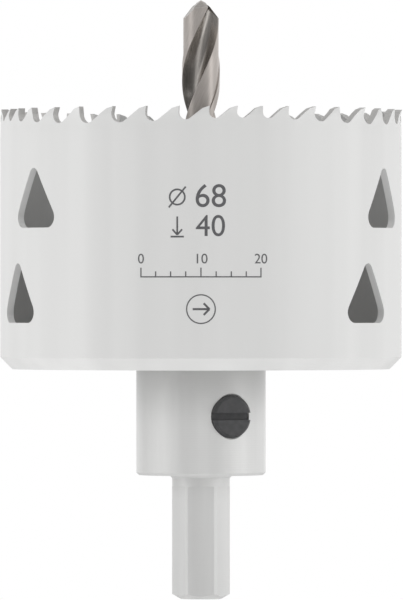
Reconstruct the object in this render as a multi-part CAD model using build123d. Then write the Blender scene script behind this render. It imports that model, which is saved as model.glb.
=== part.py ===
from build123d import *
import os
from math import cos, degrees, radians, sin, sqrt, tan

# A 68 mm hole saw on a one-piece arbor, with its pilot drill. Millimetres, +Z towards the teeth.
# The origin is on the axis, in the end face of the hexagonal shank. An angle around the saw is
# counted from the front, which is -Y, towards +X: this is also the way that the saw cuts.

# Arbor: one turned piece with the shank, the neck, the collar and the spigot
shank_flats = 8.7  # across the flats of the hexagon
shank_corner_diameter = 9.71  # the six corners are turned down to this
shank_length = 20.8  # from the end face to the collar
shank_chamfer = 1.4  # radial size of the end's chamfer
shank_chamfer_angle = 30.0  # from the end face
neck_length = 1.9  # round stretch between the flats and the collar
neck_chamfer = 0.5
collar_diameter = 21.76
collar_length = 17.8
collar_chamfer = 0.45
spigot_diameter = 15.88  # nominal size of the cup's thread
spigot_stand = 1.0  # how far the spigot stands out of the base plate
spigot_chamfer = 0.8
thread_clearance = 0.05  # radial, between the spigot and the plate's bore

# Cup: a toothed band rolled round a base plate
cup_diameter = 67.4  # over the band, without the set of the teeth
cup_height = 43.5  # from the collar's face to the tooth tips
wall = 1.2
plate_thickness = 4.0
cup_bevel = 2.0  # 45 degrees, through the wall and on into the plate

# Teeth: variable pitch, set out, in and straight in turn
pitch_cycles = 4
teeth_per_cycle = 10
pitch_swing = 1.5  # degrees by which the pitch grows and shrinks round its mean
first_tip = -6.1  # angle of a tooth's tip near the front
coarsest_at = -28.0  # angle near which the pitch is greatest
tooth_set = 0.3  # sideways lean at the tip
set_length = 1.15  # the top of each tooth, which is bent sideways
strip_rise = 0.25  # from the weld under the tooth strip to the deepest gullet's floor
gullet_share = 0.44  # gullet depth for each millimetre of pitch
gullet_flats = 5  # flats that make up the round floor of a gullet
hook_angle = 6.0
back_angle = 38.0  # of the tooth's back, from the level of the tips
relief_angle = 17.0  # of the short land behind the tip
relief_length = 1.2

# Lever slots: three pairs, each with a low slot and a high one beside it
slot_pairs = 3
pair_angle = 60.0  # angle of the first pair's middle
slot_offset = 4.65  # degrees from the pair's middle to each slot
slot_height = 9.9
slot_flank_angle = 32.0  # of each flank, from the axis
slot_tip_radius = 1.25
slot_corner_radius = 1.8
low_slot_height = 7.8  # from the cup's bottom to the low slot's flat edge
high_slot_height = 23.6  # the same, to the high slot's

# Pilot drill: two right-hand flutes, split point, plain shank with a flat for the screw
drill_diameter = 6.35
drill_lead = 18.5  # how far the point stands beyond the teeth
drill_seat = 3.8  # from the collar's lower face up to the drill's lower end
drill_clearance = 0.05  # radial, in the arbor's bore
helix_lead = 40.0
flute_length = 30.0
run_out = 7.0  # length over which the flutes run out
flute_angle = 95.0
lip_offset = 0.5  # from the axis to each flute's straight face
web_start = 0.35  # along the lip, where the face meets the web's flat
web_flat = 0.65  # the web's flat, along the lip and across it
margin_angle = 11.0  # width of the land that keeps the full diameter
land_relief = 0.2
lip_angle = 13.0  # angle of the front lip at the point
point_angle = 135.0
lip_relief = 12.0
notch_slope = 37.0  # the split beside the chisel edge
heel_slope = 53.0
heel_offset = 1.45  # from the axis to the start of the heel's fall
heel_drop = 1.1

# Set screw in the collar's side
screw_angle = 28.2
screw_height = 9.95  # its axis above the collar's lower face
screw_diameter = 7.1
screw_clearance = 0.06
screw_stand = 0.55  # how far its face stands beyond the collar
screw_chamfer = 0.45
screw_slot_width = 1.2
screw_slot_depth = 1.4
countersink = 0.25
screw_hole_depth = 0.3  # by which the hole passes the screw's seat
flat_depth = 0.45  # of the flat on the drill under the screw
flat_length = 9.0

overrun = 1.0  # by which a cutting solid passes what it cuts

cup_bottom = shank_length + collar_length
tip_level = cup_bottom + cup_height
cup_radius = cup_diameter / 2
inner_radius = cup_radius - wall
set_line = tip_level - set_length
collar_radius = collar_diameter / 2
spigot_top = cup_bottom + plate_thickness + spigot_stand
drill_radius = drill_diameter / 2
drill_tip = tip_level + drill_lead
drill_bottom = shank_length + drill_seat
bore_radius = drill_radius + drill_clearance
screw_level = shank_length + screw_height
seat_radius = drill_radius - flat_depth
corner_level = drill_tip - drill_radius / tan(radians(point_angle / 2))


def radial_plane(angle, level, radius=0.0):
    """A plane that faces outwards at this angle: x runs round the saw and y runs up."""
    out = Vector(sin(radians(angle)), -cos(radians(angle)), 0)
    round_the_saw = Vector(cos(radians(angle)), sin(radians(angle)), 0)
    return Plane(out * radius + Vector(0, 0, level), x_dir=round_the_saw, z_dir=out)


def polar(radius, angle):
    return Vector(radius * cos(radians(angle)), radius * sin(radians(angle)))


def turned(*points):
    """A solid of revolution from its half-section, given as radius and height."""
    return revolve(Plane.XZ * make_face(Polyline(*points, close=True)), Axis.Z)


def cylinder(radius, low, high):
    return Pos(0, 0, low) * Cylinder(radius, high - low, align=(Align.CENTER, Align.CENTER, Align.MIN))


def cup_envelope():
    """The cup's outside as a solid, with the bevel turned round its bottom edge."""
    return turned(
        (0, cup_bottom),
        (cup_radius - cup_bevel, cup_bottom),
        (cup_radius, cup_bottom + cup_bevel),
        (cup_radius, tip_level),
        (0, tip_level),
    )


# --- the toothed band ---


def tooth_tips():
    """The tips' angles over one turn. Each pitch is the mean with a swing that repeats each cycle."""
    teeth = pitch_cycles * teeth_per_cycle
    mean = 360.0 / teeth
    tips = [first_tip]
    for tooth in range(teeth):
        phase = radians(pitch_cycles * (first_tip + (tooth + 0.5) * mean - coarsest_at))
        tips.append(tips[-1] + mean + pitch_swing * cos(phase))
    return tips


def gullet_arc(pitch):
    """Centre and radius of the arc that touches the hooked face, the gullet's floor and the back.

    The tips lie on y = 0, with the first one on x = 0. The radius follows from the rule that the
    centre is one radius away from each of the three.
    """
    depth = gullet_share * pitch
    hook, back = radians(hook_angle), radians(back_angle)
    relief_end = relief_foot(pitch)
    radius = (depth * tan(hook) + relief_end.X) * sin(back) - (depth + relief_end.Y) * cos(back)
    radius /= 1 - cos(back) + (1 + sin(hook)) / cos(hook) * sin(back)
    centre = Vector(radius * (1 + sin(hook)) / cos(hook) - depth * tan(hook), radius - depth)
    return centre, radius


def relief_foot(pitch):
    """Where the short land behind the second tip ends and the tooth's straight back begins."""
    return Vector(pitch - relief_length, -relief_length * tan(radians(relief_angle)))


def gullet_face(pitch):
    """One gullet from tip to tip, seen from outside. Flats with their corners on the arc make its floor."""
    centre, radius = gullet_arc(pitch)
    start, end = 180 - hook_angle, 270 + back_angle
    turn = (end - start) / gullet_flats
    floor = [centre + polar(radius, start + turn * corner) for corner in range(gullet_flats + 1)]
    tips = [(pitch, 0), (pitch, overrun), (0, overrun), (0, 0)]
    return make_face(Polyline(*floor, relief_foot(pitch), *tips, close=True))


def strip(corners, low, high):
    """The tooth strip below the bent tops, flat from corner to corner. The corners are angles."""
    outside, inside = (
        make_face(Polyline(*[polar(radius, corner - 90) for corner in corners], close=True))
        for radius in (cup_radius, inner_radius)
    )
    return extrude(Pos(0, 0, low) * (outside - inside), high - low)


def set_tooth(start, end, lean):
    """The bent top of the tooth on the flat between two corners. It leans outwards by this much."""
    half = radians(end - start) / 2
    outside, inside = cup_radius * cos(half), inner_radius * cos(half)
    section = Polyline(
        (inside, set_line),
        (outside, set_line),
        (outside + lean, tip_level),
        (inside + lean, tip_level),
        close=True,
    )
    top = extrude(Plane.XZ * make_face(section), inner_radius * sin(half), both=True)
    return Rot(0, 0, (start + end) / 2 - 90) * top


def slot_face():
    """A lever slot, a triangle with rounded corners, standing on y = 0."""
    flank = radians(slot_flank_angle)
    apex = slot_height + slot_tip_radius * (1 / sin(flank) - 1)
    half_width = apex * tan(flank)
    face = make_face(Polyline((-half_width, 0), (half_width, 0), (0, apex), close=True))
    face = fillet(face.vertices().sort_by(Axis.Y)[:2], slot_corner_radius)
    return fillet(face.vertices().sort_by(Axis.Y)[-1], slot_tip_radius)


def saw_shell():
    tips = tooth_tips()
    set_radius = cup_radius + tooth_set
    pitches = [radians(end - start) * set_radius for start, end in zip(tips, tips[1:])]
    weld = tip_level - gullet_share * max(pitches) - strip_rise
    ring = cylinder(cup_radius, cup_bottom, weld) & cup_envelope()
    ring = ring - cylinder(inner_radius, cup_bottom - overrun, weld + overrun)
    depth = wall + 2 * (tooth_set + overrun)
    cuts = []
    corners = []
    for start, end, pitch in zip(tips, tips[1:], pitches):
        middle = (start + end) / 2
        plane = radial_plane(middle, tip_level, cup_radius - wall / 2 - depth / 2)
        cuts.append(extrude(plane * Pos(-pitch / 2, 0) * gullet_face(pitch), depth))
        corners.append(middle + degrees((gullet_arc(pitch)[0].X - pitch / 2) / cup_radius))
    leans = (tooth_set, -tooth_set, tooth_set, -tooth_set, 0)
    teeth = [
        set_tooth(start, end, leans[tooth % len(leans)])
        for tooth, (start, end) in enumerate(zip([corners[-1] - 360] + corners, corners))
    ]
    for pair in range(slot_pairs):
        middle = pair_angle + pair * 360 / slot_pairs
        for side, height in ((-1, low_slot_height), (1, high_slot_height)):
            plane = radial_plane(middle + side * slot_offset, cup_bottom + height, inner_radius / 2)
            cuts.append(extrude(plane * slot_face(), inner_radius))
    return ring + strip(corners, weld, set_line) + teeth - cuts


def base_plate():
    plate = cylinder(inner_radius, cup_bottom, cup_bottom + plate_thickness) & cup_envelope()
    bore = cylinder(spigot_diameter / 2 + thread_clearance, cup_bottom - overrun, spigot_top)
    return plate - bore


# --- the arbor, with the screw and the drill that it holds ---


def shank_flats_cut():
    """What the six flats leave away from the round shank, with one flat towards the front."""
    flats_top = shank_length - neck_length
    blank = cylinder(shank_corner_diameter, -overrun, flats_top)
    hexagon = RegularPolygon(shank_flats / 2, 6, major_radius=False, rotation=0)
    return blank - extrude(Pos(0, 0, -overrun) * hexagon, flats_top + overrun)


def screw_hole():
    """From just under the screw's seat out through the collar's side, with a small countersink."""
    hole = screw_diameter / 2 + screw_clearance
    start = seat_radius - screw_hole_depth
    shaft = extrude(radial_plane(screw_angle, screw_level, start) * Circle(hole), collar_radius)
    mouth = radial_plane(screw_angle, screw_level, collar_radius - countersink)
    flare = Cone(hole, hole + 2 * countersink, 2 * countersink, align=(Align.CENTER, Align.CENTER, Align.MIN))
    return shaft + mouth.location * flare


def arbor():
    corner = shank_corner_diameter / 2
    spigot = spigot_diameter / 2
    body = turned(
        (0, 0),
        (corner - shank_chamfer, 0),
        (corner, shank_chamfer * tan(radians(shank_chamfer_angle))),
        (corner, shank_length - neck_chamfer),
        (corner + neck_chamfer, shank_length),
        (collar_radius - collar_chamfer, shank_length),
        (collar_radius, shank_length + collar_chamfer),
        (collar_radius, cup_bottom),
        (spigot, cup_bottom),
        (spigot, spigot_top - spigot_chamfer),
        (spigot - spigot_chamfer, spigot_top),
        (0, spigot_top),
    )
    bore = cylinder(bore_radius, drill_bottom, spigot_top + overrun)
    return body - shank_flats_cut() - bore - screw_hole()


def set_screw():
    """A slotted grub screw: its tip sits on the drill's flat and its slot lies level."""
    radius = screw_diameter / 2
    face = collar_radius + screw_stand
    body = turned(
        (0, seat_radius),
        (radius, seat_radius),
        (radius, face - screw_chamfer),
        (radius - screw_chamfer, face),
        (0, face),
    )
    slot = Pos(0, 0, face) * Box(screw_diameter + overrun, screw_slot_width, 2 * screw_slot_depth)
    return radial_plane(screw_angle, screw_level).location * (body - slot)


def flute_section():
    """One flute across the drill, seen from the point, with its lip along +x.

    Three flats bound it: the straight face beside the lip, the web's flat at 45 degrees to it, and
    the flank that leads out to the heel.
    """
    outside = drill_radius + overrun
    lip_end = Vector(sqrt(outside**2 - lip_offset**2), lip_offset)
    face_end = Vector(web_start, lip_offset)
    web_end = face_end + Vector(-web_flat, web_flat)
    heel = polar(outside, flute_angle)
    outline = [
        Line(lip_end, face_end),
        Line(face_end, web_end),
        Line(web_end, heel),
        ThreePointArc(heel, polar(outside, flute_angle / 2), lip_end),
    ]
    return make_face(outline)


def margin_section():
    """The stretch of land behind the other lip that keeps the drill's full diameter."""
    inside = drill_radius - 2 * land_relief
    outside = drill_radius + 2 * overrun
    back, front = 180 - margin_angle, 180 + margin_angle
    corners = (polar(inside, back), polar(outside, back), polar(outside, front), polar(inside, front))
    return make_face(Polyline(*corners, close=True))


def twisted(section):
    """A section of the front lip's side, carried up past the point and turned along the helix."""
    start = drill_tip - flute_length
    length = flute_length + overrun
    degrees_per_mm = 360 / helix_lead
    solid = Solid.extrude_linear_with_rotation(
        section.face(), (0, 0, 0), (0, 0, length), degrees_per_mm * length
    )
    return Pos(0, 0, start) * Rot(0, 0, lip_angle - 90 - degrees_per_mm * (corner_level - start)) * solid


def flute():
    """The front lip's flute. Towards the shank it runs out against a cone."""
    start = drill_tip - flute_length
    outside = drill_radius + overrun
    run_out_cone = turned(
        (0, start - overrun),
        (outside, start - overrun),
        (outside, start),
        (0, start + run_out),
    )
    return twisted(flute_section()) - run_out_cone


def land_clearance():
    """What is ground away round the drill between the two margins."""
    start = drill_tip - flute_length
    sleeve = cylinder(drill_radius + overrun, start, drill_tip)
    sleeve = sleeve - cylinder(drill_radius - land_relief, start - overrun, drill_tip + overrun)
    margin = twisted(margin_section())
    return sleeve - margin - Rot(0, 0, 180) * margin


def point_planes():
    """The ground planes of one half of the point, each facing away from the steel.

    Each falls along the lip and behind it by the two slopes, from a drop below the tip on the axis.
    """
    lip = polar(1, lip_angle - 90)
    behind = polar(1, lip_angle - 180)
    along_lip = tan(radians(90 - point_angle / 2))
    relief, notch, heel = (tan(radians(slope)) for slope in (lip_relief, notch_slope, heel_slope))
    for along, back, drop in (
        (along_lip, relief, 0),
        (0, notch, 0),
        (0, heel, heel_drop - heel_offset * heel),
    ):
        yield Plane((0, 0, drill_tip - drop), z_dir=lip * along + behind * back + Vector(0, 0, 1))


def pilot_drill():
    body = turned(
        (0, drill_bottom),
        (drill_radius, drill_bottom),
        (drill_radius, corner_level),
        (0, drill_tip),
    )
    body = body - land_clearance() - flute() - Rot(0, 0, 180) * flute()
    for plane in point_planes():
        body = split(body, plane, Keep.BOTTOM)
        body = Rot(0, 0, 180) * split(Rot(0, 0, 180) * body, plane, Keep.BOTTOM)
    above_seat = (Align.CENTER, Align.CENTER, Align.MIN)
    flat_block = Box(drill_diameter, flat_length, drill_diameter, align=above_seat)
    return body - radial_plane(screw_angle, screw_level, seat_radius).location * flat_block


os.makedirs("parts", exist_ok=True)
export_step(saw_shell(), "parts/saw_shell.step")
export_step(base_plate(), "parts/base_plate.step")
export_step(arbor(), "parts/arbor.step")
export_step(set_screw(), "parts/set_screw.step")
export_step(pilot_drill(), "parts/pilot_drill.step")
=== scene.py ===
import math

import bmesh
import bpy
import numpy as np
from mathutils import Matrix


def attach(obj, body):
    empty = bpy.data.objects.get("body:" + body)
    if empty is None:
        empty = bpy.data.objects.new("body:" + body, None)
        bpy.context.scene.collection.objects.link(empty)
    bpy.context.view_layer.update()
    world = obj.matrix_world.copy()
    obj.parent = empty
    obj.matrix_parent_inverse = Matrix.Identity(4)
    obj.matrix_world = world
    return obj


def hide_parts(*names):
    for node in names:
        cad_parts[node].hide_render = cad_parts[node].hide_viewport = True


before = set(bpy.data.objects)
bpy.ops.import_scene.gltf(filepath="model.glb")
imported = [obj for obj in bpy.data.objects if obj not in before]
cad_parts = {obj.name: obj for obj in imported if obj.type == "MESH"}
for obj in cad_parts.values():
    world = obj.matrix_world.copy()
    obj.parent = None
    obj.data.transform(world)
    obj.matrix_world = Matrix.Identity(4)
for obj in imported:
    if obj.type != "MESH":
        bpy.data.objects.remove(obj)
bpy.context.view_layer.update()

# ---------------------------------------------------------------- camera
# A long lens at the level of the cup's lower third looks straight at the front of the saw.
# It stands 1.4 m away, and the saw fills the frame from the drill's point to the shank's end.
eye = bpy.data.cameras.new("eye")
eye.sensor_width = 36.0
eye.lens = 499.7
eye.clip_start, eye.clip_end = 0.05, 50.0
camera = bpy.data.objects.new("camera", eye)
camera.location = (0.00009, -1.4, 0.0502)
camera.rotation_euler = (math.radians(90), 0, 0)
bpy.context.scene.collection.objects.link(camera)
bpy.context.scene.camera = camera
bpy.context.scene.view_settings.view_transform = "Standard"


# ---------------------------------------------------------------- studio
# A pale room: a dim sky, a soft box at each side and a broad one above. The floor lies 30 mm
# below the shank's end, because a drill chuck holds the saw and it never stands on its shank.
def linear(code):
    """An sRGB hex colour as linear red, green, blue and 1: below 0.04045 a straight line, above it
    the 2.4th power."""
    srgb = np.array([int(code[i : i + 2], 16) for i in (1, 3, 5)]) / 255
    low, high = srgb / 12.92, ((srgb + 0.055) / 1.055) ** 2.4
    return (*np.where(srgb <= 0.04045, low, high).tolist(), 1.0)


def node(tree, kind, inputs=(), **settings):
    """Adds one node. inputs gives a socket its value, or the socket of another node to feed it."""
    made = tree.nodes.new(kind)
    for name, value in settings.items():
        setattr(made, name, value)
    for socket, value in dict(inputs).items():
        if isinstance(value, bpy.types.NodeSocket):
            tree.links.new(value, made.inputs[socket])
        else:
            made.inputs[socket].default_value = value
    return made


def material(name, build):
    """A material whose surface is what build makes of its empty node tree."""
    made = bpy.data.materials.new(name)
    made.use_nodes = True
    tree = made.node_tree
    tree.nodes.clear()
    surface = build(tree)
    node(tree, "ShaderNodeOutputMaterial", {"Surface": surface.outputs[0]})
    return made


def soft_box(name, place, aim, width, height, power):
    """A rectangular lamp at a place, turned to shine at a point. Shiny surfaces don't mirror it."""
    lamp = bpy.data.lights.new(name, "AREA")
    lamp.shape, lamp.size, lamp.size_y, lamp.energy = "RECTANGLE", width, height, power
    shown = bpy.data.objects.new(name, lamp)
    shown.location = place
    away = np.array(place) - np.array(aim)
    shown.rotation_euler = (
        math.acos(away[2] / np.linalg.norm(away)),
        0,
        math.atan2(away[0], -away[1]),
    )
    shown.visible_glossy = False
    bpy.context.scene.collection.objects.link(shown)


room = bpy.data.worlds.new("room")
room.use_nodes = True
room.node_tree.nodes.clear()
path = node(room.node_tree, "ShaderNodeLightPath")
direct = node(
    room.node_tree,
    "ShaderNodeMath",
    {0: path.outputs["Is Camera Ray"], 1: path.outputs["Is Glossy Ray"]},
    operation="MAXIMUM",
)
seen = node(
    room.node_tree,
    "ShaderNodeMath",
    {0: direct.outputs[0], 1: path.outputs["Is Transmission Ray"]},
    operation="MAXIMUM",
)
# the sky that lights the saw is dimmer overhead than below, as over a lit table
ray = node(room.node_tree, "ShaderNodeTexCoord")
up = node(room.node_tree, "ShaderNodeSeparateXYZ", {0: ray.outputs["Generated"]})
glow = node(
    room.node_tree,
    "ShaderNodeMapRange",
    {"Value": up.outputs["Z"], "From Min": -1.0, "From Max": 1.0, "To Min": 1.15, "To Max": 0.25},
)
# shiny metal mirrors a white room with a soft strip on each side of its darker camera end, and
# the right of that room is the brighter
along = node(
    room.node_tree,
    "ShaderNodeMapRange",
    {"Value": up.outputs["Y"], "From Min": -1.0, "From Max": 1.0},
)
strips = node(room.node_tree, "ShaderNodeValToRGB", {"Fac": along.outputs[0]})
camera_end = 0.28
for share, grey in ((0.17, camera_end), (0.29, 1.0), (0.38, 1.0), (0.48, 0.45), (0.85, 0.55)):
    stop = strips.color_ramp.elements.new(share)
    stop.color = (grey, grey, grey, 1)
strips.color_ramp.elements[0].color = (camera_end, camera_end, camera_end, 1)
right = node(
    room.node_tree,
    "ShaderNodeMapRange",
    {"Value": up.outputs["X"], "From Min": -0.5, "From Max": 0.9, "To Min": 0.95, "To Max": 1.35},
)
strip = node(
    room.node_tree,
    "ShaderNodeMath",
    {0: strips.outputs[0], 1: right.outputs[0]},
    operation="MULTIPLY",
)
mirrored = node(
    room.node_tree,
    "ShaderNodeMix",
    {0: path.outputs["Is Glossy Ray"], 2: 1.0, 3: strip.outputs[0]},
)
strength = node(
    room.node_tree,
    "ShaderNodeMix",
    {0: seen.outputs[0], 2: glow.outputs[0], 3: mirrored.outputs[0]},
)
sky = node(
    room.node_tree,
    "ShaderNodeBackground",
    {"Color": linear("#FFFFFF"), "Strength": strength.outputs[0]},
)
node(room.node_tree, "ShaderNodeOutputWorld", {"Surface": sky.outputs[0]})
bpy.context.scene.world = room

saw_middle = (0, 0, 0.05)
soft_box("left_box", (-0.9, -0.24, 0.12), saw_middle, 0.9, 1.1, 4.6)
soft_box("right_box", (0.9, -0.24, 0.12), saw_middle, 0.9, 1.1, 4.0)
soft_box("top_box", (0, -0.25, 0.9), saw_middle, 0.9, 0.7, 1.2)


def floor_paint(tree):
    """Matt white near the saw, so that it keeps the saw's shadow, with a little light of its own
    for the camera alone, and plain white beyond 0.25 to 0.8 m. It is clear from below, and to the
    light that reaches the saw's underside."""
    place = node(tree, "ShaderNodeTexCoord")
    away = node(tree, "ShaderNodeVectorMath", {0: place.outputs["Object"]}, operation="LENGTH")
    far = node(
        tree,
        "ShaderNodeMapRange",
        {"Value": away.outputs["Value"], "From Min": 0.25, "From Max": 0.8},
        interpolation_type="SMOOTHSTEP",
    )
    path = node(tree, "ShaderNodeLightPath")
    shown = node(
        tree,
        "ShaderNodeMath",
        {0: path.outputs["Is Camera Ray"], 1: path.outputs["Is Glossy Ray"]},
        operation="MAXIMUM",
    )
    plain = node(
        tree, "ShaderNodeMath", {0: far.outputs[0], 1: shown.outputs[0]}, operation="MULTIPLY"
    )
    matt = node(tree, "ShaderNodeBsdfDiffuse", {"Color": linear("#F4F4F4")})
    white = node(tree, "ShaderNodeEmission", {"Color": linear("#FFFFFF"), "Strength": 1.0})
    lit = node(tree, "ShaderNodeEmission", {"Color": linear("#FFFFFF"), "Strength": 0.3})
    both = node(tree, "ShaderNodeAddShader", {0: matt.outputs[0], 1: lit.outputs[0]})
    pale = node(
        tree,
        "ShaderNodeMixShader",
        {0: path.outputs["Is Camera Ray"], 1: matt.outputs[0], 2: both.outputs[0]},
    )
    top = node(
        tree,
        "ShaderNodeMixShader",
        {0: plain.outputs[0], 1: pale.outputs[0], 2: white.outputs[0]},
    )
    side = node(tree, "ShaderNodeNewGeometry")
    unseen = node(
        tree,
        "ShaderNodeMath",
        {0: side.outputs["Backfacing"], 1: path.outputs["Is Diffuse Ray"]},
        operation="MAXIMUM",
    )
    clear = node(tree, "ShaderNodeBsdfTransparent")
    return node(
        tree,
        "ShaderNodeMixShader",
        {0: unseen.outputs[0], 1: top.outputs[0], 2: clear.outputs[0]},
    )


floor_reach, ground = 12.0, -0.03
square = np.array([(-1, -1), (1, -1), (1, 1), (-1, 1)]) * floor_reach
floor_mesh = bpy.data.meshes.new("floor")
floor_mesh.from_pydata(np.insert(square, 2, ground, 1).tolist(), [], [(0, 1, 2, 3)])
floor = bpy.data.objects.new("floor", floor_mesh)
floor_mesh.materials.append(material("matt_white_floor", floor_paint))
bpy.context.scene.collection.objects.link(floor)


# ---------------------------------------------------------------- saw_shell
# The toothed band: bimetal strip, toothed and set, then rolled round and welded, with three pairs
# of lever slots punched through it. It is sprayed with a satin grey lacquer once it is welded to
# the plate. The coat covers the slots' edges, and painted shade darkens the teeth's cut faces.
cup_bottom, tip_level = 38.6, 82.1
cup_radius, wall, bevel = 33.7, 1.2, 2.0
tooth_count, first_tip, mean_pitch, pitch_swing = 40, -6.1, 9, 1.5
tooth_set, set_length = 0.3, 1.15
flat_zone = (78.0, 79.6)  # from the round wall up to the flats between the gullets
pair_angles, slot_offset = (60.0, 180.0, 300.0), 4.65
slot_feet = (cup_bottom + 7.8, cup_bottom + 23.6)
slot_height, slot_flank, foot_round, top_round, slot_middle = 9.9, 32, 1.8, 1.25, 3.8
# bare marks the teeth's cut faces, whose darker grey is painted shade
lacquered, bare, misted = 0, 1, 2  # the skins' finishes, by their place in the list of materials

# the pitch swings four times round the saw, as the cosine of four times the angle from -28 degrees
even_middles = first_tip + (np.arange(tooth_count) + 0.5) * mean_pitch
pitch_angles = mean_pitch + pitch_swing * np.cos(np.radians(4 * (even_middles + 28)))
tips = first_tip + np.concatenate([[0], np.cumsum(pitch_angles)])
middles = (tips[:-1] + tips[1:]) / 2


def gullets():
    """Each gullet's outline from tip to tip, in mm along the wall and up from the tips: a hooked
    face at 6 degrees, an arc that touches it, the floor and the back, the back at 38 degrees, and
    a relief at 17 degrees over the last 1.2 mm. The depth is 0.44 of the pitch. Also each pitch
    in mm, and how far along the wall the floor's lowest place lies."""
    pitch = np.radians(pitch_angles) * (cup_radius + tooth_set)
    depth = 0.44 * pitch
    hook, back, last = math.radians(6), math.radians(38), 1.2
    heel_x, heel_y = pitch - last, np.full(tooth_count, -last * math.tan(math.radians(17)))
    radius = (depth * math.tan(hook) + heel_x) * math.sin(back)
    radius -= (depth + heel_y) * math.cos(back)
    radius /= 1 - math.cos(back) + (1 + math.sin(hook)) / math.cos(hook) * math.sin(back)
    lowest = radius * (1 + math.sin(hook)) / math.cos(hook) - depth * math.tan(hook)
    centre, heel = np.stack([lowest, radius - depth], 1), np.stack([heel_x, heel_y], 1)
    turn = np.radians(np.linspace(174, 308, 12))
    arc = centre[:, None] + radius[:, None, None] * np.stack([np.cos(turn), np.sin(turn)], 1)
    face = arc[:, :1] * np.array([0, 0.5])[:, None]
    behind = arc[:, -1:] + (heel[:, None] - arc[:, -1:]) * np.array([1 / 3, 2 / 3])[:, None]
    tip = np.stack([pitch, np.zeros(tooth_count)], 1)
    relief = heel[:, None] + (tip - heel)[:, None] * np.array([0, 0.3, 0.6, 0.85])[:, None]
    return np.concatenate([face, arc, behind, relief], 1), pitch, lowest


outline, pitch, lowest = gullets()
rim_angle = np.degrees((outline[..., 0] - pitch[:, None] / 2) / (cup_radius + tooth_set))
rim_angle = (rim_angle + middles[:, None]).ravel()
rim_height = (tip_level + outline[..., 1]).ravel()
# each tooth has 20 columns of points, and the first stands 2.2 degrees before its tip
spread = np.arange(20) / 20
column = (tips[:-1, None] - 2.2 + pitch_angles[:, None] * spread).ravel()
corners = middles + np.degrees((lowest - pitch / 2) / cup_radius)
corners = np.concatenate([[corners[-1] - 360], corners, [corners[0] + 360]])
leans = np.resize([tooth_set, -tooth_set, tooth_set, -tooth_set, 0], tooth_count)


def on_wall(angle, height, inset):
    """Points of the wall, inset from its outer skin. Below the teeth it is round. From one
    gullet's floor to the next it is flat, so its radius is the flat's distance over the cosine of
    the angle from the flat's middle, and over the flat zone the one turns into the other. Over
    the last 1.15 mm each tooth leans to one side, by its set at the tip."""
    angle, height = np.broadcast_arrays(np.asarray(angle, float), np.asarray(height, float))
    tooth = np.clip(np.searchsorted(corners, angle, "right") - 1, 0, tooth_count)
    half = np.radians(corners[tooth + 1] - corners[tooth]) / 2
    off = np.radians(angle) - np.radians(corners[tooth]) - half
    rise = np.clip((height - (tip_level - set_length)) / set_length, 0, 1)
    bend = rise * leans[tooth % tooth_count]
    share = np.clip((height - flat_zone[0]) / (flat_zone[1] - flat_zone[0]), 0, 1)
    flat = (cup_radius * np.cos(half) + bend - inset) / np.cos(off)
    radius = (cup_radius - inset) * (1 - share) + flat * share
    turn = np.radians(angle)
    return np.stack([radius * np.sin(turn), -radius * np.cos(turn), height], -1)


def slot_edge(foot, middle, inset, around):
    """A slot's edge at given directions round its middle: a triangle 9.9 mm high with flanks at 32
    degrees, its corners rounded to 1.8 mm at the foot and 1.25 mm at the top, cut straight through
    the wall, so an offset x across it lies at the arc sine of x over the radius."""
    slope = math.radians(slot_flank)
    apex = slot_height + top_round * (1 / math.sin(slope) - 1)
    corner = apex * math.tan(slope) - foot_round / math.tan(math.pi / 4 - slope / 2)
    turn_low = np.linspace(-math.pi / 2, slope, 40)
    turn_high = np.linspace(slope, math.pi - slope, 40)
    right = foot_round * np.stack([np.cos(turn_low), np.sin(turn_low)], 1) + (corner, foot_round)
    head = top_round * np.stack([np.cos(turn_high), np.sin(turn_high)], 1)
    head = head + (0, apex - top_round / math.sin(slope))
    edge = np.concatenate([right, head, right[::-1] * (-1, 1)])
    # each side is divided into 40, and each direction from the slot's middle finds its reach
    share = np.linspace(0, 1, 40, endpoint=False)[:, None, None]
    edge = (edge + (np.roll(edge, -1, 0) - edge) * share).transpose(1, 0, 2).reshape(-1, 2)
    edge = edge - (0, slot_middle)
    turn = np.arctan2(edge[:, 1], edge[:, 0])
    order = np.argsort(turn)
    reach = np.interp(around, turn[order], np.hypot(*edge.T)[order], period=2 * math.pi)
    x, z = reach * np.cos(around), reach * np.sin(around) + slot_middle + foot
    return middle + np.degrees(np.arcsin(x / (cup_radius - inset))), z


def quads(rows, columns, closed):
    """The four corners of each cell of a grid that was flattened row by row."""
    last = columns if closed else columns - 1
    row, col = np.meshgrid(np.arange(rows - 1), np.arange(last), indexing="ij")
    a = row * columns + col
    b = row * columns + (col + 1) % columns
    return np.stack([a, b, b + columns, a + columns], -1).reshape(-1, 4)


# a slot's band has these rows, in mm from the slot's foot
slot_rows = np.array([-1.8, -1.3, -0.9, -0.5, -0.1, 0.3, 0.7, 1.2, 2.0, 4.0, 6.5, 9.0, 11.4])
plain_rows = (42.6, 75.8)  # one more row each in the lowest and the highest plain band
window = 14.2  # half the width of the window round a slot, in degrees


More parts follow.
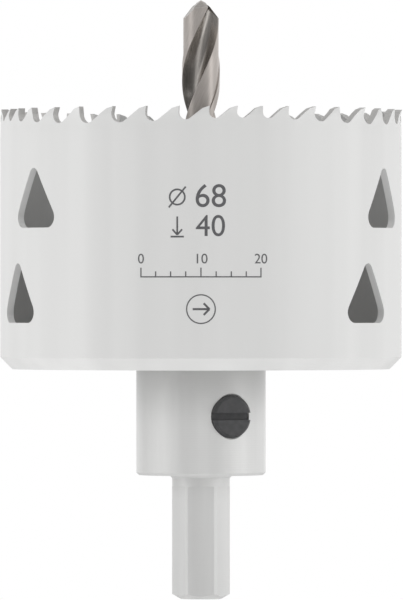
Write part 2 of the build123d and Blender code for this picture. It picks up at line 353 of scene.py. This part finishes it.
def skin(inset, low, finish):
    """One skin of the wall as plain bands, and rings round the slots: lists of grids, each with
    whether it runs all the way round and its finish. A ring goes straight from the border of a
    window in its band to the slot's edge. The last band does so from the round wall to the rim."""

    def between(angle, height, edge_angle, edge_height, rows):
        share = np.linspace(0, 1, rows)[:, None]
        place = on_wall(
            angle + (edge_angle - angle) * share, height + (edge_height - height) * share, inset
        )
        return place, True, finish

    bands, rings, below = [], [], [low, plain_rows[0]]
    for foot, aside in zip(slot_feet, (-slot_offset, slot_offset)):
        rows = foot + slot_rows
        plain = np.array([*below, rows[0]])
        bands.append((on_wall(column, plain[:, None], inset), True, finish))
        below = [rows[-1]]
        start = 0
        for middle in np.array(pair_angles) + aside:
            left, right = np.searchsorted(column, (middle - window, middle + window))
            strip = column[start : left + 1]
            bands.append((on_wall(strip, rows[:, None], inset), False, finish))
            start = right
            # the window's border: along its foot, up its right side, back along its top and down
            wide, tall = column[left : right + 1], rows[1:]
            border_angle = [wide, np.full(len(tall), wide[-1]), wide[-2::-1]]
            border_angle = np.concatenate([*border_angle, np.full(len(tall) - 1, wide[0])])
            border_height = [np.full(len(wide), rows[0]), tall, np.full(len(wide) - 1, rows[-1])]
            border_height = np.concatenate([*border_height, tall[-2::-1]])
            across = (cup_radius - inset) * np.sin(np.radians(border_angle - middle))
            around = np.arctan2(border_height - foot - slot_middle, across)
            edge = slot_edge(foot, middle, inset, around)
            rings.append(between(border_angle, border_height, *edge, 6))
        strip = np.concatenate([column[start:], column[:1] + 360])
        bands.append((on_wall(strip, rows[:, None], inset), False, finish))
    plain = np.array([*below, plain_rows[1], flat_zone[0]])
    bands.append((on_wall(column, plain[:, None], inset), True, finish))
    bands.append(between(column, flat_zone[0], rim_angle, rim_height, 11))
    return bands, rings


def made_of(name, grids, sharp=30):
    """A piece from grids of points in mm: points that round to the same 0.0005 mm are one, a cell
    with two corners in one place becomes a triangle and one with fewer than three places is left
    out, normals are recalculated outwards, and edges that turn by more than an angle in degrees
    stay sharp."""
    points, faces, finishes, base = [], [], [], 0
    for grid, closed, finish in grids:
        rows, columns = grid.shape[:2]
        cells = quads(rows, columns, closed) + base
        points.append(grid.reshape(-1, 3))
        faces.append(cells)
        finishes.append(np.full(len(cells), finish))
        base += rows * columns
    points, faces, finishes = (np.concatenate(part) for part in (points, faces, finishes))
    _, first, same = np.unique(
        np.round(points * 2000).astype(np.int64), axis=0, return_index=True, return_inverse=True
    )
    faces = same.ravel()[faces]
    solid = (faces == np.roll(faces, 1, 1)).sum(1) < 2
    faces, finishes = faces[solid], finishes[solid]
    cells = [list(dict.fromkeys(cell)) for cell in faces.tolist()]
    mesh = bpy.data.meshes.new(name)
    mesh.from_pydata((points[first] * 0.001).tolist(), [], cells)
    mesh.polygons.foreach_set("material_index", finishes.astype(np.int32))
    work = bmesh.new()
    work.from_mesh(mesh)
    bmesh.ops.recalc_face_normals(work, faces=work.faces)
    work.to_mesh(mesh)
    work.free()
    mesh.shade_smooth()
    mesh.set_sharp_from_angle(angle=math.radians(sharp))
    mesh.validate()
    piece = bpy.data.objects.new(name, mesh)
    bpy.context.scene.collection.objects.link(piece)
    return piece


def satin_lacquer(tree):
    """Light grey satin lacquer on steel. The eye gets a soft, even sheen, an orange peel of about
    0.4 mm, faint upright bands about 8 mm wide that the bending rolls left in the strip, and at
    the back a dull weld seam, 1 mm wide, where the band closes."""
    place = node(tree, "ShaderNodeTexCoord")
    upright = node(tree, "ShaderNodeMapping", {0: place.outputs["Object"], "Scale": (1, 1, 0.03)})
    cloud = node(
        tree,
        "ShaderNodeTexNoise",
        {"Vector": upright.outputs[0], "Scale": 125.0, "Detail": 2.0},
    )
    coat = node(
        tree,
        "ShaderNodeMix",
        {0: cloud.outputs["Fac"], 6: linear("#D6D6D5"), 7: linear("#ECECEB")},
        data_type="RGBA",
    )
    # the seam lies on an upright line at 150 degrees: within 0.6 mm of the plane through it and
    # the axis, and on that side only, more than 30 mm out
    turn = math.radians(150)
    beside = node(
        tree,
        "ShaderNodeVectorMath",
        {0: place.outputs["Object"], 1: (math.cos(turn), math.sin(turn), 0)},
        operation="DOT_PRODUCT",
    )
    out = node(
        tree,
        "ShaderNodeVectorMath",
        {0: place.outputs["Object"], 1: (math.sin(turn), -math.cos(turn), 0)},
        operation="DOT_PRODUCT",
    )
    off = node(tree, "ShaderNodeMath", {0: beside.outputs["Value"]}, operation="ABSOLUTE")
    line = node(
        tree,
        "ShaderNodeMapRange",
        {
            "Value": off.outputs[0],
            "From Min": 0.0002,
            "From Max": 0.0006,
            "To Min": 1.0,
            "To Max": 0.0,
        },
    )
    behind = node(
        tree, "ShaderNodeMath", {0: out.outputs["Value"], 1: 0.03}, operation="GREATER_THAN"
    )
    seam = node(
        tree, "ShaderNodeMath", {0: line.outputs[0], 1: behind.outputs[0]}, operation="MULTIPLY"
    )
    tone = node(
        tree,
        "ShaderNodeMix",
        {0: seam.outputs[0], 6: coat.outputs[2], 7: linear("#C6C5C3")},
        data_type="RGBA",
    )
    peel = node(
        tree,
        "ShaderNodeTexNoise",
        {"Vector": place.outputs["Object"], "Scale": 2500.0, "Detail": 1.0},
    )
    bump = node(
        tree,
        "ShaderNodeBump",
        {"Strength": 0.06, "Distance": 0.0002, "Height": peel.outputs["Fac"]},
    )
    bead = node(
        tree,
        "ShaderNodeBump",
        {"Strength": 0.5, "Distance": 0.0002, "Height": seam.outputs[0], "Normal": bump.outputs[0]},
    )
    return node(
        tree,
        "ShaderNodeBsdfPrincipled",
        {"Base Color": tone.outputs[2], "Roughness": 0.42, "IOR": 1.5, "Normal": bead.outputs[0]},
    )


def thin_lacquer(tree):
    """The inside of the cup, which the spray hardly reaches: strip steel through a thin grey mist.
    The eye gets a duller and darker grey than outside, clouded about 8 mm across, which turns
    lighter over the last 5 mm below the teeth's tips, where the spray did reach."""
    place = node(tree, "ShaderNodeTexCoord")
    cloud = node(
        tree,
        "ShaderNodeTexNoise",
        {"Vector": place.outputs["Object"], "Scale": 125.0, "Detail": 4.0},
    )
    coat = node(
        tree,
        "ShaderNodeMix",
        {0: cloud.outputs["Fac"], 6: linear("#A2A2A1"), 7: linear("#BFBFBE")},
        data_type="RGBA",
    )
    axes = node(tree, "ShaderNodeSeparateXYZ", {0: place.outputs["Object"]})
    rim = node(
        tree,
        "ShaderNodeMapRange",
        {"Value": axes.outputs["Z"], "From Min": 0.077, "From Max": 0.082},
    )
    tone = node(
        tree,
        "ShaderNodeMix",
        {0: rim.outputs[0], 6: coat.outputs[2], 7: linear("#D2D2D1")},
        data_type="RGBA",
    )
    return node(
        tree,
        "ShaderNodeBsdfPrincipled",
        {"Base Color": tone.outputs[2], "Roughness": 0.55, "IOR": 1.5},
    )


def shaded_cut_face(tree):
    """Painted shade on the teeth's cut faces: a warm grey, darker and duller than the lacquer, with
    a faint grain about 0.3 mm across."""
    place = node(tree, "ShaderNodeTexCoord")
    grain = node(
        tree,
        "ShaderNodeTexNoise",
        {"Vector": place.outputs["Object"], "Scale": 3500.0, "Detail": 2.0},
    )
    steel = node(
        tree,
        "ShaderNodeMix",
        {0: grain.outputs["Fac"], 6: linear("#BAB9B7"), 7: linear("#D6D5D3")},
        data_type="RGBA",
    )
    return node(
        tree,
        "ShaderNodeBsdfPrincipled",
        {"Base Color": steel.outputs[2], "Metallic": 0.2, "Roughness": 0.45},
    )


def closing(outer, inner, finish):
    """The strip between two edges that belong together, one on each skin."""
    return np.stack([outer, (outer + inner) / 2, inner]), True, finish


outer_bands, outer_rings = skin(0, cup_bottom + bevel, lacquered)
inner_bands, inner_rings = skin(wall, cup_bottom + bevel - wall, misted)
# the bevel at the foot, the slots' edges and the teeth's cut faces join the two skins
joins = [(np.stack([outer_bands[0][0][0], inner_bands[0][0][0]]), True, lacquered)]
for outside, inside in zip(outer_rings, inner_rings):
    joins.append(closing(outside[0][-1], inside[0][-1], lacquered))
# the teeth's cut faces, whose darker grey is painted shade
joins.append(closing(outer_bands[-1][0][-1], inner_bands[-1][0][-1], bare))
shell = made_of("saw_band", outer_bands + outer_rings + inner_bands + inner_rings + joins)
lacquer = material("satin_lacquer", satin_lacquer)
shell.data.materials.append(lacquer)
shell.data.materials.append(material("shaded_cut_face", shaded_cut_face))
shell.data.materials.append(material("thin_lacquer", thin_lacquer))
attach(shell, "root")
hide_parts("saw_shell")


# ---------------------------------------------------------------- wall_print
# Dark grey ink, pad printed on the front of the cup once the lacquer is dry: the diameter and the
# depth as plain numbers, each beside its sign, a rule of 2.5 mm steps and the way the wall moves.
ink = 0.02  # how far it stands in and out of the wall, in mm


def wrapped(points):
    """Flat points, right, up and out of the sheet in mm, laid round the wall: what runs right
    becomes an angle over the cup's radius, and what stands out adds to that radius."""
    angle = points[..., 0] / cup_radius
    radius = cup_radius + points[..., 2]
    return np.stack([radius * np.sin(angle), -radius * np.cos(angle), points[..., 1]], -1)


def ribbon(x, y, width):
    """A flat stroke along a path: four corners carried along it, half the width to each side and
    the ink's thickness in and out, with both ends drawn shut."""
    path = np.stack(np.broadcast_arrays(np.asarray(x, float), np.asarray(y, float)), -1)
    run = np.gradient(path, axis=0)
    aside = np.stack([-run[:, 1], run[:, 0]], -1) / np.hypot(*run.T)[:, None] * width / 2
    sides = np.array([-1, 1, 1, -1])[:, None]
    flat = path[:, None] + aside[:, None] * sides
    depth = np.broadcast_to(np.array([-ink, -ink, ink, ink]), flat.shape[:2])
    strip = np.concatenate([flat, depth[..., None]], -1)
    ends = [np.broadcast_to(strip[end].mean(0), (1, 4, 3)) for end in (0, -1)]
    return wrapped(np.concatenate([ends[0], strip, ends[1]])), True, 0


def numerals(text, x, y, size):
    """Plain numbers as thin closed plates: Blender's own letters, whose edges over 0.4 mm are cut
    in two, three times over, laid round the wall. Gives the points and each triangle's corners."""
    curve = bpy.data.curves.new("numerals", "FONT")
    curve.body, curve.size, curve.extrude = text, size, ink
    curve.align_x, curve.align_y = "CENTER", "CENTER"
    letters = bpy.data.objects.new("numerals", curve)
    bpy.context.scene.collection.objects.link(letters)
    bpy.context.view_layer.update()
    drawn = letters.evaluated_get(bpy.context.evaluated_depsgraph_get())
    plate = bpy.data.meshes.new_from_object(drawn)
    bpy.data.objects.remove(letters)
    work = bmesh.new()
    work.from_mesh(plate)
    bmesh.ops.remove_doubles(work, verts=work.verts, dist=0.0005)
    bmesh.ops.triangulate(work, faces=work.faces)
    for _ in range(3):
        long_edges = [edge for edge in work.edges if edge.calc_length() > 0.4]
        bmesh.ops.subdivide_edges(work, edges=long_edges, cuts=1)
        bmesh.ops.triangulate(work, faces=work.faces)
    work.to_mesh(plate)
    work.free()
    flat = np.empty(len(plate.vertices) * 3, np.float32)
    plate.vertices.foreach_get("co", flat)
    corners = np.empty(len(plate.loops), np.int32)
    plate.loops.foreach_get("vertex_index", corners)
    return wrapped(flat.reshape(-1, 3) + np.array([x, y, 0])), corners.reshape(-1, 3)


def circle(x, y, radius):
    """Points once round a circle."""
    turn = np.radians(np.linspace(0, 360, 72))
    return x + radius * np.cos(turn), y + radius * np.sin(turn)


thin, medium, thick = 0.2, 0.28, 0.34  # the strokes' widths
sign_x, number_x, diameter_y, depth_y = -3.9, 1.6, 67.1, 60.9
rule_y, rule_step, arrow_y, arrow_x = 54.0, 2.5, 48.7, 1.4
strokes = [
    # the diameter's sign and the depth's
    ribbon(*circle(sign_x, diameter_y, 1.25), medium),
    ribbon(np.linspace(-5.3, -2.5, 8), np.linspace(65.4, 68.8, 8), medium),
    ribbon(sign_x, np.linspace(depth_y, 63.9, 8), medium),
    ribbon(np.linspace(-5.0, -2.8, 8), 60.6, medium),
    ribbon(np.linspace(-4.7, sign_x, 4), np.linspace(61.8, depth_y, 4), medium),
    ribbon(np.linspace(-3.1, sign_x, 4), np.linspace(61.8, depth_y, 4), medium),
    # the ring with the way the wall moves
    ribbon(*circle(0, arrow_y, 2.35), thin),
    ribbon(np.linspace(-1.35, 1.3, 12), arrow_y, thick),
    ribbon(np.linspace(0.45, arrow_x, 5), np.linspace(49.65, arrow_y, 5), thick),
    ribbon(np.linspace(0.45, arrow_x, 5), np.linspace(47.75, arrow_y, 5), thick),
    # the rule
    ribbon(np.linspace(-10.1, 10.1, 60), rule_y, thin),
]
for step in range(9):
    tall = 1.5 if step % 4 == 0 else 0.9
    strokes.append(ribbon(-10 + step * rule_step, np.linspace(rule_y, rule_y + tall, 4), thin))
marks = made_of("print_marks", strokes)
plates = [numerals("68", number_x, diameter_y, 5.4), numerals("40", number_x, 62.2, 5.0)]
plates += [numerals(text, x, 56.9, 2.3) for text, x in (("0", -10), ("10", 0), ("20", 10))]
starts = np.cumsum([0] + [len(placed) for placed, _ in plates])
numbers_mesh = bpy.data.meshes.new("print_numbers")
numbers_mesh.from_pydata(
    (np.concatenate([placed for placed, _ in plates]) * 0.001).tolist(),
    [],
    np.concatenate([faces + start for (_, faces), start in zip(plates, starts)]).tolist(),
)
numbers = bpy.data.objects.new("print_numbers", numbers_mesh)
bpy.context.scene.collection.objects.link(numbers)


def print_ink(tree):
    """Pad-printing ink, matt and slightly thin. The eye gets a soft dark grey, mottled 0.4 mm
    across."""
    place = node(tree, "ShaderNodeTexCoord")
    mottle = node(
        tree,
        "ShaderNodeTexNoise",
        {"Vector": place.outputs["Object"], "Scale": 2500.0, "Detail": 2.0},
    )
    tone = node(
        tree,
        "ShaderNodeMix",
        {0: mottle.outputs["Fac"], 6: linear("#505052"), 7: linear("#6E6E70")},
        data_type="RGBA",
    )
    return node(
        tree,
        "ShaderNodeBsdfPrincipled",
        {"Base Color": tone.outputs[2], "Roughness": 0.6, "IOR": 1.5},
    )


printed = material("print_ink", print_ink)
for piece in (marks, numbers):
    piece.data.materials.append(printed)
    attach(piece, "root")


# ---------------------------------------------------------------- base_plate
# The round steel plate that closes the cup and carries it on the arbor's spigot. It is turned
# from plate, welded inside the band and lacquered with it.
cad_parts["base_plate"].material_slots[0].material = lacquer


# ---------------------------------------------------------------- arbor
# One piece of steel bar: the spigot, the collar, the neck and the hexagon that a chuck grips. It
# is turned and milled, then zinc plated to a dull silver, and its spigot screws into the plate.
def dull_zinc(tree):
    """Dull zinc plate on turned steel. The eye gets a milky light grey with a soft sheen and faint
    upright streaks 3 mm wide, which are painted reflection, fine rings round the axis 0.4 mm apart,
    drawn coarser than the turning left them, and a greyer top 10 mm on the collar, which is
    painted shade under the cup."""
    place = node(tree, "ShaderNodeTexCoord")
    up = node(tree, "ShaderNodeSeparateXYZ", {0: place.outputs["Object"]})
    # painted shade: the collar's top 10 mm, under the cup, turns towards a darker grey
    shade_under_cup = node(
        tree,
        "ShaderNodeMapRange",
        {"Value": up.outputs["Z"], "From Min": 0.028, "From Max": 0.0386},
        interpolation_type="SMOOTHSTEP",
    )
    # painted reflection: upright streaks that stand for the streaky reflections of the turned
    # collar
    upright = node(tree, "ShaderNodeMapping", {0: place.outputs["Object"], "Scale": (1, 1, 0.05)})
    cloud = node(
        tree,
        "ShaderNodeTexNoise",
        {"Vector": upright.outputs[0], "Scale": 300.0, "Detail": 2.0},
    )
    plate = node(
        tree,
        "ShaderNodeMix",
        {0: cloud.outputs["Fac"], 6: linear("#D0D0CF"), 7: linear("#E9E9E8")},
        data_type="RGBA",
    )
    # the painted shade under the cup darkens the plate's grey
    tone = node(
        tree,
        "ShaderNodeMix",
        {0: shade_under_cup.outputs[0], 6: plate.outputs[2], 7: linear("#BFBFBE")},
        data_type="RGBA",
    )
    rings = node(
        tree,
        "ShaderNodeTexWave",
        {"Vector": place.outputs["Object"], "Scale": 780.0, "Distortion": 1.5, "Detail": 2.0},
        bands_direction="Z",
    )
    bump = node(
        tree,
        "ShaderNodeBump",
        {"Strength": 0.05, "Distance": 0.0001, "Height": rings.outputs["Fac"]},
    )
    return node(
        tree,
        "ShaderNodeBsdfPrincipled",
        {
            "Base Color": tone.outputs[2],
            "Metallic": 0.3,
            "Roughness": 0.32,
            "Normal": bump.outputs[0],
        },
    )


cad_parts["arbor"].material_slots[0].material = material("dull_zinc", dull_zinc)


# ---------------------------------------------------------------- set_screw
# A slotted grub screw of hardened steel with a black oxide finish. It is screwed into the
# collar's side until it bears on the drill's flat.
def black_oxide(tree):
    """Black oxide on steel. The eye gets a soft near-black, clouded about 1 mm across, with a
    slight metal sheen."""
    place = node(tree, "ShaderNodeTexCoord")
    cloud = node(
        tree,
        "ShaderNodeTexNoise",
        {"Vector": place.outputs["Object"], "Scale": 900.0, "Detail": 4.0},
    )
    tone = node(
        tree,
        "ShaderNodeMix",
        {0: cloud.outputs["Fac"], 6: linear("#434344"), 7: linear("#5E5E5F")},
        data_type="RGBA",
    )
    return node(
        tree,
        "ShaderNodeBsdfPrincipled",
        {"Base Color": tone.outputs[2], "Metallic": 0.6, "Roughness": 0.45},
    )


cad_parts["set_screw"].material_slots[0].material = material("black_oxide", black_oxide)


# ---------------------------------------------------------------- pilot_drill
# A twist drill of high-speed steel: two right-hand flutes ground at a lead of 40 mm, a narrow
# margin behind each lip, relieved lands and a split point. The plain shank sits in the arbor's
# bore and has a flat for the grub screw.
drill_radius, land_radius, drill_low, drill_tip = 3.175, 2.975, 24.6, 100.6
flute_low, run_out, turn_rate = 70.6, 7.0, 9.0
lip_angle, cone_slope = -77, 22.5
corner_level = drill_tip - drill_radius / math.tan(math.radians(90 - cone_slope))
screw_level, screw_angle, seat_radius, seat_length = 30.75, 28.2, 2.725, 9.0


def half_section():
    """Half of the drill's section with the front lip along +x: the lip's face as a straight line,
    the flute's root as a quarter circle of 1.5 mm, the flank out to the heel, the relieved land as
    an arc from 95 to 169 degrees, and the margin as an arc on the full radius up to the other
    lip."""

    def arc(radius, first, last, count):
        turn = np.radians(np.linspace(first, last, count))
        return radius * np.stack([np.cos(turn), np.sin(turn)], 1)

    face = np.linspace((3.135, 0.5), (1.33, 0.42), 12)[:-1]
    root = np.array([1.33, 1.92]) + arc(1.5, 270, 180, 37)
    flank = np.linspace((-0.17, 1.92), (-0.259, 2.964), 8)[1:]
    land = arc(land_radius, 95, 168.6, 26)[1:]
    margin = arc(drill_radius, 169, 189.06, 9)[:-1]
    return np.concatenate([face, root, flank, land, margin])


half = half_section()
section = np.concatenate([half, -half])
reach_out = np.hypot(*section.T)


def drill_side(level):
    """Points of the drill's side, one column for each point of the section. Above the run-out's
    foot the section turns by 9 degrees a mm. Over the run-out no point lies nearer to the axis
    than a cone, whose radius is the drill's and 1 mm more at the foot and nothing 7 mm up, and
    below it all lie on the full circle."""
    level = np.broadcast_to(level, (level.shape[0], len(section)))
    lift = (drill_radius + 1) * (1 - (level - flute_low) / run_out)
    radius = np.minimum(np.maximum(reach_out, lift), drill_radius)
    turned = lip_angle + turn_rate * (np.maximum(level, flute_low) - corner_level)
    angle = np.arctan2(section[:, 1], section[:, 0]) + np.radians(turned)
    return np.stack([radius * np.cos(angle), radius * np.sin(angle), level], -1)


def point_height(place):
    """The point's height over a place: the lowest of a cone of 135 degrees and, for each half,
    three ground planes: the relief behind the lip at 12 degrees, the split at 37 degrees and the
    heel's fall at 53 degrees from a line 1.45 mm behind the lip and 1.1 mm down."""
    cone, relief, split, fall = np.tan(np.radians([cone_slope, 12, 37, 53]))
    height = drill_tip - cone * np.hypot(place[..., 0], place[..., 1])
    for half_turn in (0, 180):
        lip, behind = np.radians([lip_angle + half_turn, lip_angle - 90 + half_turn])
        out = place[..., 0] * np.cos(lip) + place[..., 1] * np.sin(lip)
        back = place[..., 0] * np.cos(behind) + place[..., 1] * np.sin(behind)
        height = np.minimum(height, drill_tip - cone * out - relief * back)
        height = np.minimum(height, drill_tip - split * back)
        height = np.minimum(height, drill_tip - 1.1 - fall * (back - 1.45))
    return height


# the side's upper ends settle on the point: each step gives their place at the last step's height
ends = np.full((1, len(section)), drill_tip - 1.0)
for _ in range(12):
    ends = point_height(drill_side(ends))
levels = flute_low + (ends - flute_low) * np.linspace(0, 1, 130)[:, None]
side = drill_side(levels)
cap = side[-1] * np.linspace(1, 0, 16)[:, None, None]
cap[..., 2] = point_height(cap)

# the plain shank, with the flat cut square out of it where the screw bears
flat_low, flat_high = screw_level - seat_length / 2, screw_level + seat_length / 2
shank_levels = np.array([drill_low, flat_low, flat_low, flat_high, flat_high, 50, flute_low])
shank = drill_side(shank_levels[:, None])
to_screw = np.array([math.sin(math.radians(screw_angle)), -math.cos(math.radians(screw_angle))])
beyond = np.maximum(shank[2:4, :, :2] @ to_screw - seat_radius, 0)
shank[2:4, :, :2] -= beyond[..., None] * to_screw
shank_end = shank[0] * np.array([0, 0.5, 1])[:, None, None]
shank_end[..., 2] = drill_low
drill = made_of(
    "twist_drill",
    [(grid, True, 0) for grid in (shank_end, shank, side, cap)],
    sharp=25,
)

# in_flute is 1 where a point lies 0.16 mm or more inside the land's radius, up to 0.9 mm past the
# corners. helix is the point turned back with the flutes, in mm, its height drawn in to a 20th,
# so that a fine pattern on it becomes long lines that run with the flutes.
places = np.empty(len(drill.data.vertices) * 3, np.float32)
drill.data.vertices.foreach_get("co", places)
places = places.reshape(-1, 3).astype(float) * 1000
off_axis = np.hypot(places[:, 0], places[:, 1])
lip_turn = np.radians(lip_angle + turn_rate * (places[:, 2] - corner_level))
back_turn = np.arctan2(places[:, 1], places[:, 0]) - lip_turn
in_flute = np.clip((land_radius - 0.06 - off_axis) / 0.1, 0, 1)
in_flute *= places[:, 2] < corner_level + 0.9
mark = drill.data.attributes.new("in_flute", "FLOAT", "POINT")
mark.data.foreach_set("value", in_flute.astype(np.float32))
helix = [off_axis * np.cos(back_turn), off_axis * np.sin(back_turn), places[:, 2] * 0.05]
mark = drill.data.attributes.new("helix", "FLOAT_VECTOR", "POINT")
mark.data.foreach_set("vector", np.stack(helix, 1).astype(np.float32).ravel())


def ground_steel(tree):
    """Ground high-speed steel, bare. The eye gets a warm bright grey on the lands and a darker,
    streakier grey in the flutes, where the wheel's lines run with the helix 0.2 mm apart."""
    along = node(tree, "ShaderNodeAttribute", attribute_name="helix")
    lines = node(
        tree,
        "ShaderNodeTexNoise",
        {"Vector": along.outputs["Vector"], "Scale": 5.0, "Detail": 3.0},
    )
    land = node(
        tree,
        "ShaderNodeMix",
        {0: lines.outputs["Fac"], 6: linear("#B9B2AC"), 7: linear("#DED7D2")},
        data_type="RGBA",
    )
    flute = node(
        tree,
        "ShaderNodeMix",
        {0: lines.outputs["Fac"], 6: linear("#97928D"), 7: linear("#CBC6C1")},
        data_type="RGBA",
    )
    inside = node(tree, "ShaderNodeAttribute", attribute_name="in_flute")
    tone = node(
        tree,
        "ShaderNodeMix",
        {0: inside.outputs["Fac"], 6: land.outputs[2], 7: flute.outputs[2]},
        data_type="RGBA",
    )
    polish = node(tree, "ShaderNodeMix", {0: inside.outputs["Fac"], 2: 0.34, 3: 0.27})
    bump = node(
        tree,
        "ShaderNodeBump",
        {"Strength": 0.08, "Distance": 0.0001, "Height": lines.outputs["Fac"]},
    )
    return node(
        tree,
        "ShaderNodeBsdfPrincipled",
        {
            "Base Color": tone.outputs[2],
            "Metallic": 1.0,
            "Roughness": polish.outputs[0],
            "Normal": bump.outputs[0],
        },
    )


drill.data.materials.append(material("ground_steel", ground_steel))
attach(drill, "root")
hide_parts("pilot_drill")
